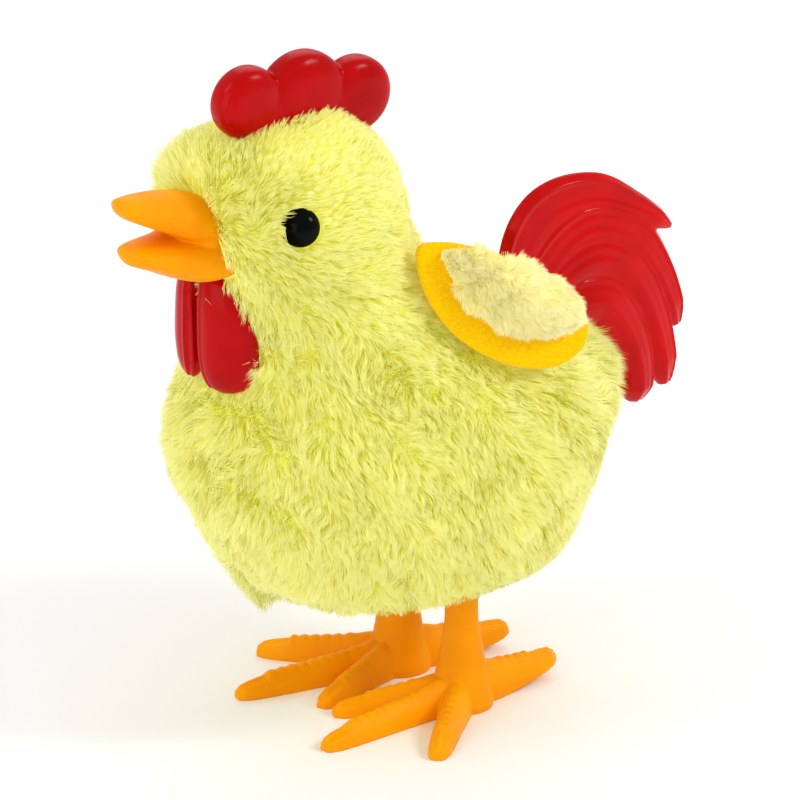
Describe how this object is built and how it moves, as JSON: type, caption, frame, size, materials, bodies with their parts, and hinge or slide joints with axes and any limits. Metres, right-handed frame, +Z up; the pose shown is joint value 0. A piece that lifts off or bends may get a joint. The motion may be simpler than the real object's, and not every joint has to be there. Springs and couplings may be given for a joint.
{
  "type": "wind-up hopping chicken",
  "caption": "Wind-up hopping hen: plush body over a plastic shell with a clockwork gearbox, rocking moulded legs, comb, wattle, beak, felt wings, tail and winding knob.",
  "frame": {"origin": "on the ground under the centre of the bounding box", "axes": "+Z up, the beak points along -Y, the hen's left side is +X, the winding knob is on the -X side"},
  "size_m": [0.0572, 0.0912, 0.0979],
  "materials": {
    "plush": "short pile plush, pale yellow green",
    "wing_plush": "short pile plush, pale yellow",
    "wing_felt": "pressed felt, golden yellow",
    "red_plastic": "glossy moulded plastic, red",
    "orange_plastic": "satin moulded plastic, orange",
    "eye": "polished, black",
    "shell_plastic": "satin moulded plastic, cream",
    "plate_plastic": "satin moulded plastic, light grey",
    "gear_plastic": "natural nylon",
    "steel": "bright drawn steel",
    "spring_steel": "blued spring steel",
    "knob": "glossy moulded plastic, white"
  },
  "bodies": {
    "body": {"plush_skin": "plush", "body_shell_left": "shell_plastic", "body_shell_right": "shell_plastic", "shell_screw_1": "steel", "shell_screw_2": "steel", "shell_screw_3": "steel", "comb": "red_plastic", "tail": "red_plastic", "wattle": "red_plastic", "beak": "orange_plastic", "left_eye": "eye", "right_eye": "eye", "gearbox_plate_left": "plate_plastic", "gearbox_plate_right": "plate_plastic", "gearbox_screw_1": "steel", "gearbox_screw_2": "steel", "gearbox_screw_3": "steel", "gearbox_screw_4": "steel", "mainspring": "spring_steel", "leg_pivot_pin": "steel", "leg_pivot_washer": "steel"},
    "winder": {"winding_arbor": "steel", "ratchet_wheel": "steel", "winding_knob": "knob"},
    "main_gear": {"main_wheel": "gear_plastic", "ratchet_click": "steel"},
    "middle_gear": {"middle_shaft": "steel", "middle_pinion": "gear_plastic", "middle_wheel": "gear_plastic"},
    "crank": {"crank_shaft": "steel", "crank_pinion": "gear_plastic", "crank_left": "plate_plastic", "crank_right": "plate_plastic"},
    "left_leg": {"left_leg": "orange_plastic"},
    "right_leg": {"right_leg": "orange_plastic"},
    "left_wing": {"left_wing_felt": "wing_felt", "left_wing_plush": "wing_plush"},
    "right_wing": {"right_wing_felt": "wing_felt", "right_wing_plush": "wing_plush"}
  },
  "joints": [
    {"name": "winder_turn", "type": "hinge", "parent": "body", "child": "winder", "pos_m": [0.0019, 0.00001, 0.04736], "axis": [1, 0, 0], "continuous": true},
    {"name": "main_gear_turn", "type": "hinge", "parent": "body", "child": "main_gear", "pos_m": [0.0019, 0.00001, 0.04736], "axis": [1, 0, 0], "continuous": true},
    {"name": "middle_gear_turn", "type": "hinge", "parent": "body", "child": "middle_gear", "pos_m": [0.0019, -0.00574, 0.0374], "axis": [1, 0, 0], "continuous": true},
    {"name": "crank_turn", "type": "hinge", "parent": "body", "child": "crank", "pos_m": [0.0019, 0.00476, 0.0374], "axis": [1, 0, 0], "continuous": true},
    {"name": "left_leg_swing", "type": "hinge", "parent": "body", "child": "left_leg", "pos_m": [0.0095, 0.00476, 0.0254], "axis": [1, 0, 0], "range_deg": [-9.5, 9.5]},
    {"name": "right_leg_swing", "type": "hinge", "parent": "body", "child": "right_leg", "pos_m": [-0.0057, 0.00476, 0.0254], "axis": [1, 0, 0], "range_deg": [-9.5, 9.5]},
    {"name": "left_wing_flap", "type": "hinge", "parent": "body", "child": "left_wing", "pos_m": [0.0173, -0.00694, 0.0722], "axis": [0.1424, -0.5437, -0.8271], "range_deg": [0, 18], "stiffness_Nm_per_rad": 0.002, "springref_deg": -11.46},
    {"name": "right_wing_flap", "type": "hinge", "parent": "body", "child": "right_wing", "pos_m": [-0.0135, -0.00694, 0.0722], "axis": [0.1424, 0.5437, 0.8271], "range_deg": [0, 18], "stiffness_Nm_per_rad": 0.002, "springref_deg": -11.46}
  ],
  "couplings": [
    {"joint": "middle_gear_turn", "follows": "main_gear_turn", "ratio": -3.6},
    {"joint": "crank_turn", "follows": "main_gear_turn", "ratio": 11.52},
    {"joint": "right_leg_swing", "follows": "left_leg_swing", "ratio": 1}
  ]
}
